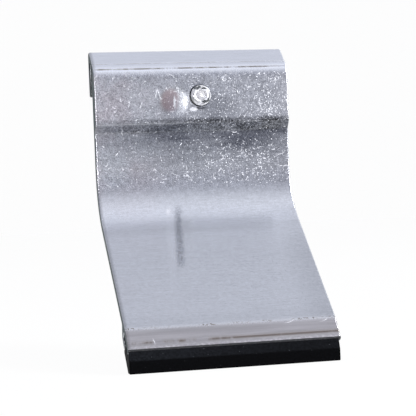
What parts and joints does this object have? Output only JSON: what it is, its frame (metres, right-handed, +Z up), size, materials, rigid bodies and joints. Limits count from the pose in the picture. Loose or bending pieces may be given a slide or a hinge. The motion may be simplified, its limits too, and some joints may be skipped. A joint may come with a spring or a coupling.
{
  "type": "roof snow guard",
  "caption": "Aluminium roof snow guard clip: a hook clamped on a rail by a set screw, a long bent ramp, and a rubber foot that rests on the roof.",
  "frame": {"origin": "middle of the hook's slot across the guard, on the sloped inner face of the hook's roof, where the edge of the rail seats", "axes": "+X along the extrusion, across the roof; +Y from the ramp's side through the upper wall to the hook's back leg; +Z up, along the upper wall"},
  "size_m": [0.0762, 0.0691, 0.1169],
  "materials": {
    "mill_aluminium": "mill finish with fine lines along the extrusion, scratched",
    "black_rubber": "matt moulded rubber",
    "stainless_screw": "bright rolled steel"
  },
  "bodies": {
    "clip": {"clip_body": "mill_aluminium", "rubber_foot": "black_rubber"},
    "screw": {"set_screw": "stainless_screw"}
  },
  "joints": [
    {"name": "screw_advance", "type": "slide", "parent": "clip", "child": "screw", "axis": [0, 1, 0], "range_m": [-0.002, 0.0035]}
  ]
}
